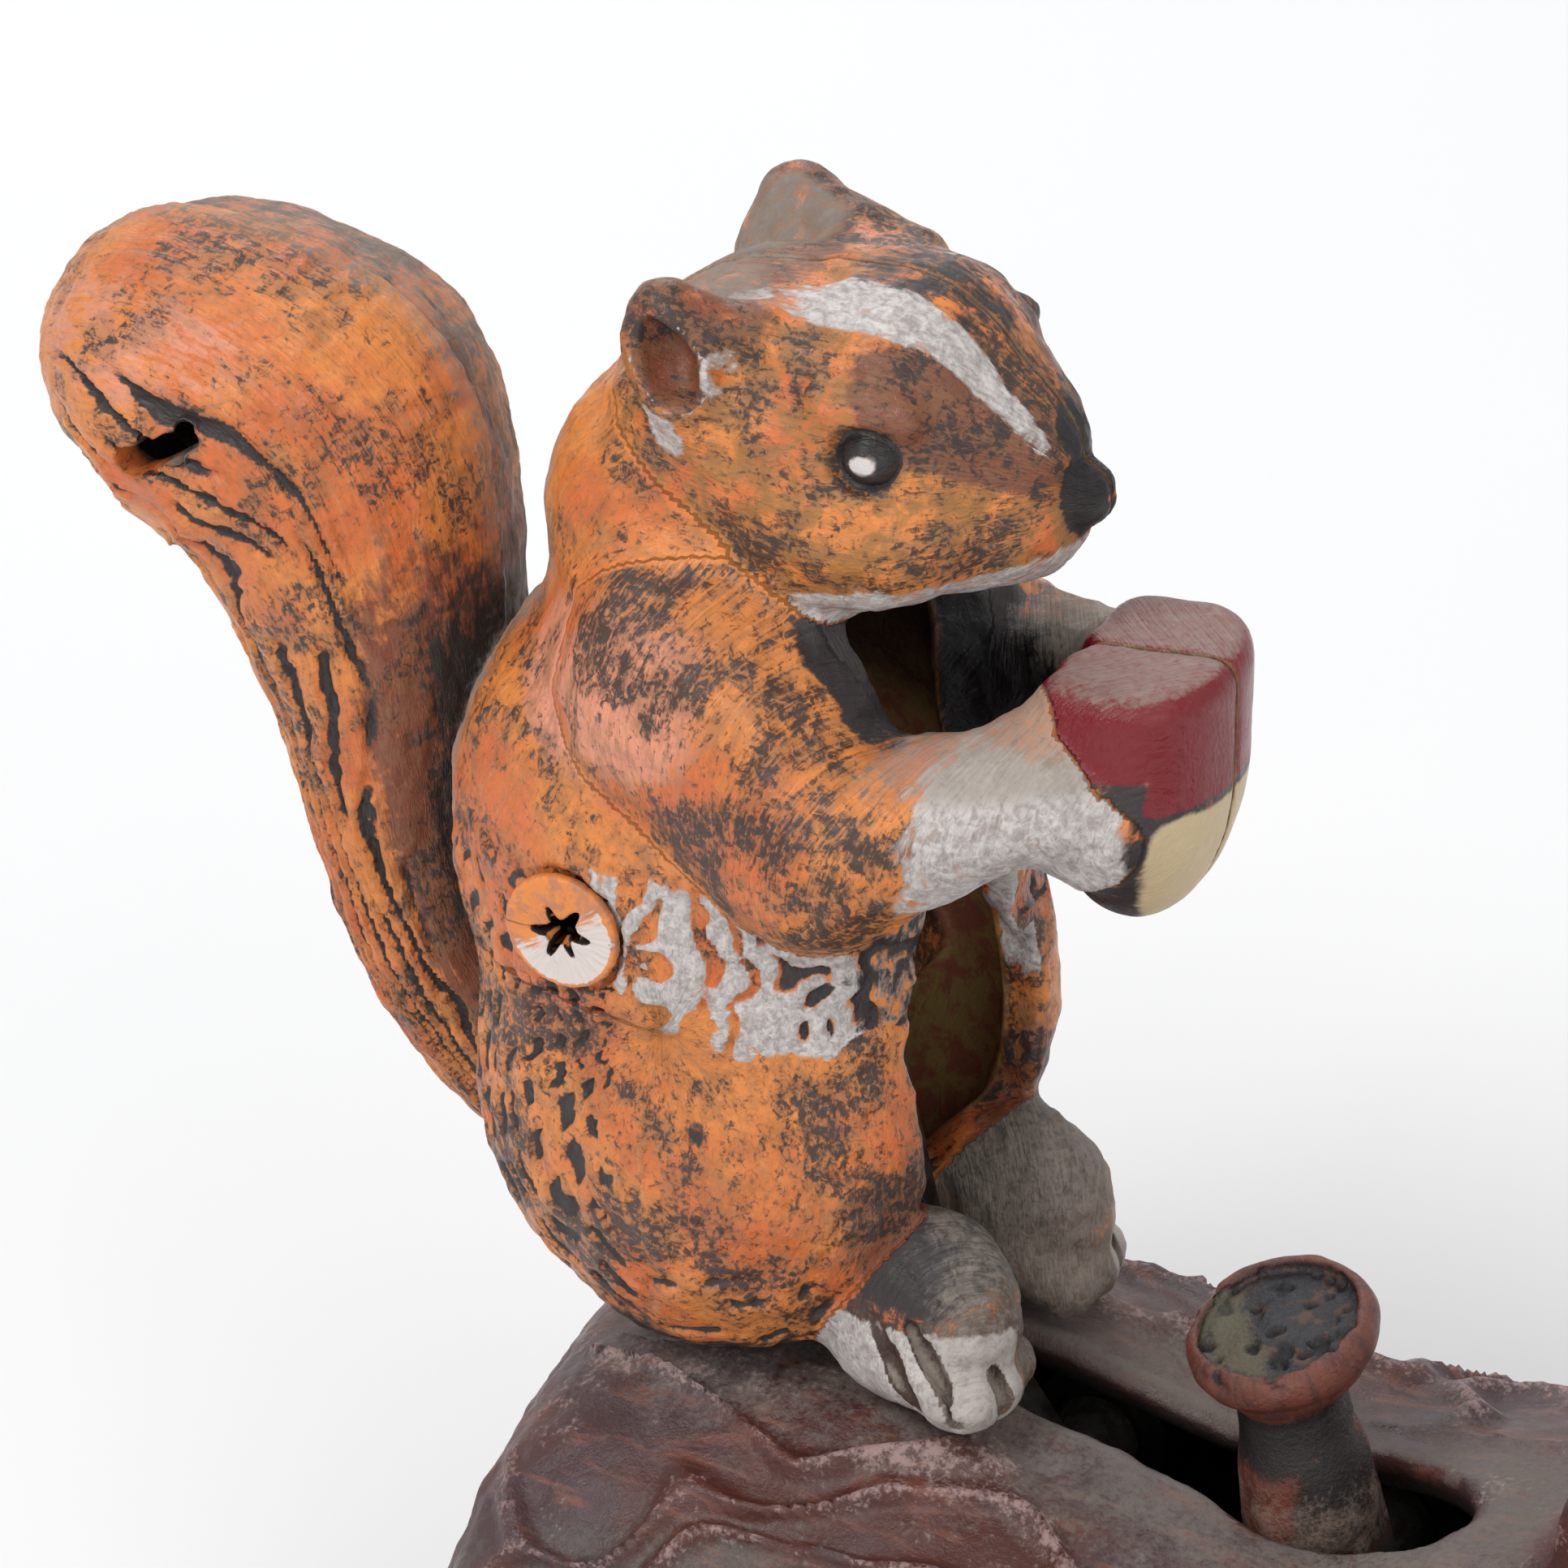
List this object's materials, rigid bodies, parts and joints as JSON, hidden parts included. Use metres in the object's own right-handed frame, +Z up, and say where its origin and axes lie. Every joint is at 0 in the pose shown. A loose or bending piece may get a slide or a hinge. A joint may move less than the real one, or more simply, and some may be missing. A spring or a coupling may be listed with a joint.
{
  "type": "figural nutcracker",
  "caption": "Painted cast-iron chipmunk nutcracker: the figure bows over a cupped stub on a hollow log, and a linkage turns the stub with it.",
  "frame": {"origin": "on the table, on the middle plane, halfway along the log", "axes": "+X the way the chipmunk faces, +Y its left, +Z up"},
  "size_m": [0.1973, 0.0778, 0.1437],
  "materials": {
    "fur_paint": "cast iron, orange fur paint brushed over black, white and maroon details, semi-gloss",
    "rivet_paint": "steel, painted over with the fur",
    "bark_paint": "cast iron, reddish-brown bark paint with grey dust, semi-gloss",
    "stub_paint": "cast iron, red-brown paint worn to black iron in the cup",
    "dark_iron": "bare, blackened",
    "bright_steel": "turned, dulled",
    "spring_steel": "drawn wire and stamped strip"
  },
  "bodies": {
    "base": {"log_casting": "bark_paint", "base_plate": "dark_iron", "base_screw_rear": "bright_steel", "base_screw_front": "bright_steel", "figure_axle": "bright_steel", "stub_axle": "bright_steel", "figure_axle_spacer_right": "bright_steel", "figure_axle_spacer_left": "bright_steel", "stub_axle_spacer_right": "bright_steel", "stub_axle_spacer_left": "bright_steel", "spring_post": "bright_steel", "return_spring": "spring_steel"},
    "figure": {"chipmunk_half_right": "fur_paint", "chipmunk_half_left": "fur_paint", "body_rivet": "rivet_paint", "locating_pin": "bright_steel", "tongue_plate": "dark_iron", "link_pin_rear": "bright_steel", "link_pin_clip_rear": "spring_steel"},
    "anvil": {"anvil_stub": "stub_paint", "link_pin_front": "bright_steel", "link_pin_clip_front": "spring_steel"},
    "link": {"link_bar_right": "dark_iron", "link_bar_left": "dark_iron"}
  },
  "joints": [
    {"name": "figure_bow", "type": "hinge", "parent": "base", "child": "figure", "pos_m": [-0.036, 0, 0.034], "axis": [0, 1, 0], "range_deg": [0, 35]},
    {"name": "stub_swing", "type": "hinge", "parent": "base", "child": "anvil", "pos_m": [-0.01, 0, 0.034], "axis": [0, 1, 0], "range_deg": [0, 35], "deforming": ["return_spring"]},
    {"name": "link_turn", "type": "hinge", "parent": "figure", "child": "link", "pos_m": [-0.036, 0, 0.019], "axis": [0, 1, 0], "range_deg": [-35, 0]}
  ],
  "couplings": [
    {"joint": "stub_swing", "follows": "figure_bow", "ratio": 1},
    {"joint": "link_turn", "follows": "figure_bow", "ratio": -1}
  ]
}
